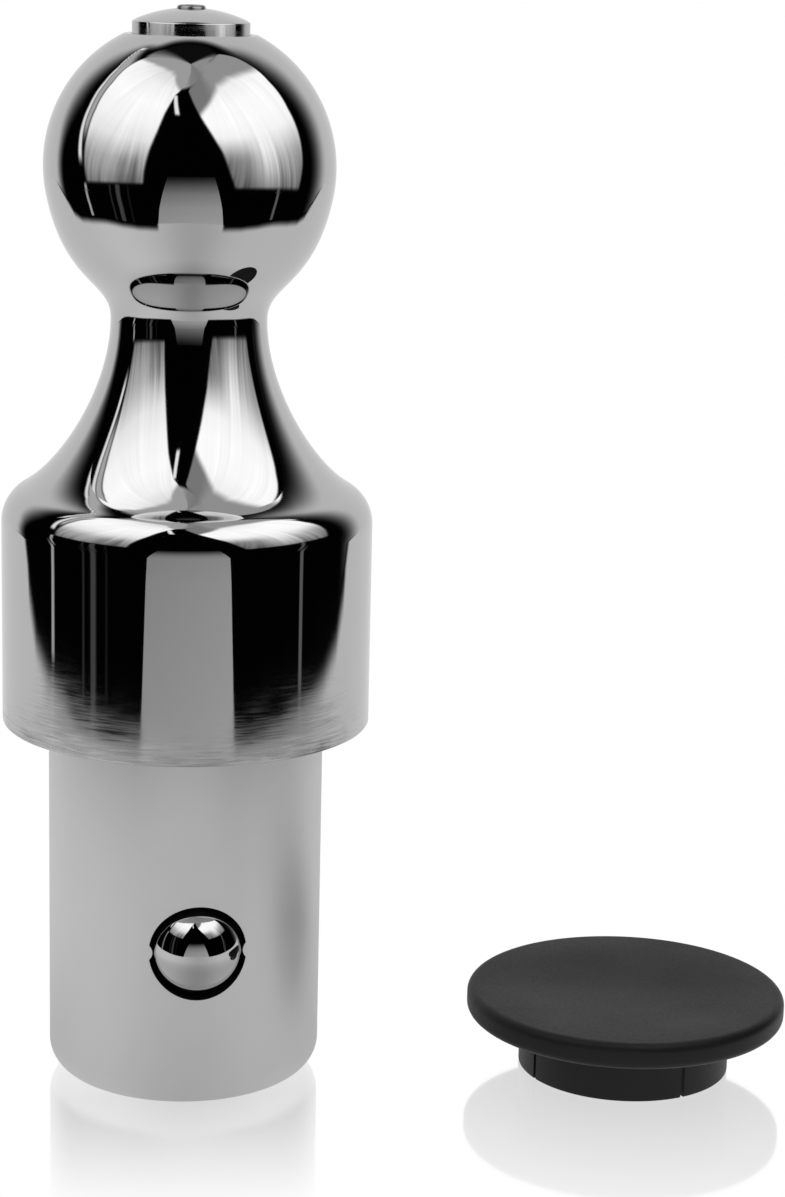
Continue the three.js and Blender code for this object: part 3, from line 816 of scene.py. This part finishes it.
def ground(azimuth, reach):
    """Brightness of the pale sheet round the object, by direction and distance in metres: a glowing stand-in
    for the lit table, with painted light and painted shade.
    """
    # painted light: the glow is dimmer round azimuth 5 and a little brighter round azimuth -65
    sheet = 174 - 22 * np.exp(-((azimuth - 5) / 28) ** 2) + 8 * np.exp(-((azimuth + 65) / 30) ** 2)
    # painted shade: the glow is 24 lower within 0.05 to 0.13 m of the object
    return sheet - 24 * (1 - step(reach, 0.05, 0.13))


def level_direction(a):
    """X and Y of the level direction at an angle from the camera's side, in radians."""
    to_camera = Vector((CAMERA_PLACE.x, CAMERA_PLACE.y)).normalized()
    right = Vector((-to_camera.y, to_camera.x))
    return np.cos(a) * to_camera.x + np.sin(a) * right.x, np.cos(a) * to_camera.y + np.sin(a) * right.y


def glow_mesh(name, points, columns, brightness, closed=True):
    """A mesh of rows of points round the object, which shines and isn't seen by the camera itself."""
    rows = len(points) // columns
    faces = []
    for row in range(rows - 1):
        for k in range(columns if closed else columns - 1):
            n = (k + 1) % columns
            low, high = row * columns, (row + 1) * columns
            faces.append((low + k, low + n, high + n, high + k))
    mesh = bpy.data.meshes.new(name)
    mesh.from_pydata([tuple(p) for p in points], [], faces)
    light = to_linear(brightness).reshape(-1) / CHROME_SHINE
    colours = mesh.color_attributes.new("light", "FLOAT_COLOR", "POINT")
    colours.data.foreach_set("color", np.repeat(light[:, None], 4, 1).astype(np.float32).ravel())
    material = bpy.data.materials.new(name + "_light")
    material.use_nodes = True
    tree = material.node_tree
    tree.nodes.clear()
    source = add(tree, "ShaderNodeAttribute")
    source.attribute_name = "light"
    emission = add(tree, "ShaderNodeEmission")
    output = add(tree, "ShaderNodeOutputMaterial")
    tree.links.new(source.outputs["Color"], emission.inputs["Color"])
    tree.links.new(emission.outputs["Emission"], output.inputs["Surface"])
    mesh.materials.append(material)
    thing = bpy.data.objects.new(name, mesh)
    thing.visible_camera = False
    thing.visible_shadow = False
    thing.visible_diffuse = False
    scene.collection.objects.link(thing)


def shown_direction(a, e, reach):
    """Where a point round the ball shows in it, as an angle across and up in degrees."""
    source = np.stack([np.cos(e) * np.cos(a), np.cos(e) * np.sin(a), np.sin(e)])
    half = source + np.array((math.cos(CAMERA_UP), 0, math.sin(CAMERA_UP))).reshape(3, 1, 1)
    half /= np.maximum(np.linalg.norm(half, axis=0), 1e-6)
    seen = source * reach - half * BALL_R * MM
    up = np.arctan2(seen[2], np.hypot(seen[0], seen[1]))
    return np.degrees(np.arctan2(seen[1], seen[0])), np.degrees(up)


def build_room():
    """A shell that lights the object and shows in it. Its softboxes stand close to the object."""
    ups, turns = np.radians(np.linspace(-90, 90, 241)), np.radians(np.arange(-180, 180, 0.75))
    e, a = np.meshgrid(ups, turns, indexing="ij")
    azimuth, elevation = np.degrees(a), np.degrees(e)
    near = along(elevation, [-12, 0, 45, 75, 90], [0.215, 0.22, 0.27, 0.32, 0.33])
    opening = along(np.abs(azimuth), [23, 28], [1, -14])
    near = near + (0.9 - near) * (1 - step(elevation, opening, opening + 1.5))
    reach = near + (1.5 - near) * step(np.abs(azimuth), 106, 108) * (1 - step(elevation, 48, 70))
    flat_x, flat_y = level_direction(a)
    points = np.stack([np.cos(e) * flat_x * reach, np.cos(e) * flat_y * reach, np.sin(e) * reach], -1)
    points = points.reshape(-1, 3)
    light = studio(*shown_direction(a, e, reach))
    glow_mesh("room", points + np.array((0, 0, BALL_Z * MM)), a.shape[1], light)


def build_ground():
    """The pale table top under the object as a glowing sheet that shows only in reflections: a painted
    reflection, with painted shade near the object.
    """
    shares, turns = np.concatenate([[0.005], np.linspace(0.1, 1, 60)]), np.radians(np.arange(-180, 180, 1.0))
    share, a = np.meshgrid(shares, turns, indexing="ij")
    azimuth = np.degrees(a)
    d = share * along(np.abs(azimuth), EDGE_AZIMUTH, EDGE_REACH)
    flat_x, flat_y = level_direction(a)
    points = np.stack([d * flat_x, d * flat_y, np.full_like(d, -TABLE_DROP)], -1).reshape(-1, 3)
    sides = step(np.abs(azimuth - CARD_AZIMUTH), 27, 29) * (1 - step(np.abs(azimuth), 118, 130))
    light = ground(azimuth, d) * (1 - sides * step(share, 0.84, 1))
    glow_mesh("ground", points, a.shape[1], light)


def build_card():
    """A grey card at the table's front edge that glows and shows only in reflections: it leans back and
    narrows upwards, and its painted glow grows darker upwards.
    """
    half_width, narrowing, lean, height = 27.5, 10.3, 0.041, 0.176
    t, side = np.meshgrid(np.linspace(0, 1, 24), np.linspace(-1, 1, 13), indexing="ij")
    flat_x, flat_y = level_direction(np.radians(CARD_AZIMUTH + side * (half_width - narrowing * t)))
    d = EDGE_REACH[0] + lean * t
    points = np.stack([d * flat_x, d * flat_y, height * t - TABLE_DROP], -1).reshape(-1, 3)
    # painted light: the glow fades from 144 at the foot to 22 at the top and is a little brighter on one side
    light = along(t, [0, 0.3, 0.6, 0.8, 1], [144, 134, 112, 76, 22]) + 5 * side
    glow_mesh("card", points, side.shape[1], light, closed=False)


def distance_from(tree, source, centre):
    """How far a point of the floor is from a centre."""
    away = add(tree, "ShaderNodeVectorMath", operation="DISTANCE")
    tree.links.new(source.outputs["Object"], away.inputs[0])
    away.inputs[1].default_value = (*centre, 0)
    return away.outputs["Value"]


def build_floor():
    """The plain white floor that the camera sees: slightly polished before the ball and round the cover."""
    half, drop = 5.0, 0.0003
    corners = [(-half, -half, 0), (half, -half, 0), (half, half, 0), (-half, half, 0)]
    mesh = bpy.data.meshes.new("floor")
    mesh.from_pydata(corners, [], [(0, 1, 2, 3)])
    mesh.transform(Matrix.Translation((0, 0, -drop)))
    material = bpy.data.materials.new("white_floor")
    material.use_nodes = True
    tree = material.node_tree
    tree.nodes.clear()
    source = add(tree, "ShaderNodeTexCoord")
    split = add(tree, "ShaderNodeSeparateXYZ")
    tree.links.new(source.outputs["Object"], split.inputs["Vector"])
    shine = remap(tree, distance_from(tree, source, (0, 0)), 0.024, 0.078, 0.85, 0.0)
    shine = combine(tree, "MULTIPLY", shine, remap(tree, split.outputs["Y"], 0.03, -0.02, 0.0, 1.0))
    by_cover = remap(tree, distance_from(tree, source, COVER_CENTRE.xy), 0.022, 0.1, 0.45, 0.0)
    shine = combine(tree, "MAXIMUM", shine, by_cover)
    emission = add(tree, "ShaderNodeEmission")
    gloss = add(tree, "ShaderNodeBsdfGlossy")
    gloss.inputs["Roughness"].default_value = 0.07
    strength = combine(tree, "ADD", combine(tree, "MULTIPLY", shine, -0.76), 1.0)
    tree.links.new(strength, emission.inputs["Strength"])
    level = add(tree, "ShaderNodeCombineColor")
    for socket in level.inputs[:3]:
        tree.links.new(shine, socket)
    tree.links.new(level.outputs["Color"], gloss.inputs["Color"])
    both = add(tree, "ShaderNodeAddShader")
    tree.links.new(emission.outputs["Emission"], both.inputs[0])
    tree.links.new(gloss.outputs["BSDF"], both.inputs[1])
    output = add(tree, "ShaderNodeOutputMaterial")
    tree.links.new(both.outputs["Shader"], output.inputs["Surface"])
    mesh.materials.append(material)
    floor = bpy.data.objects.new("floor", mesh)
    floor.visible_glossy = False
    floor.visible_diffuse = False
    floor.visible_shadow = False
    scene.collection.objects.link(floor)


build_room()
build_ground()
build_card()
build_floor()
world = bpy.data.worlds.new("world")
world.use_nodes = True
world.node_tree.nodes["Background"].inputs["Color"].default_value = (1, 1, 1, 1)
world.node_tree.nodes["Background"].inputs["Strength"].default_value = 1.0
scene.world = world
scene.view_settings.view_transform = "Standard"
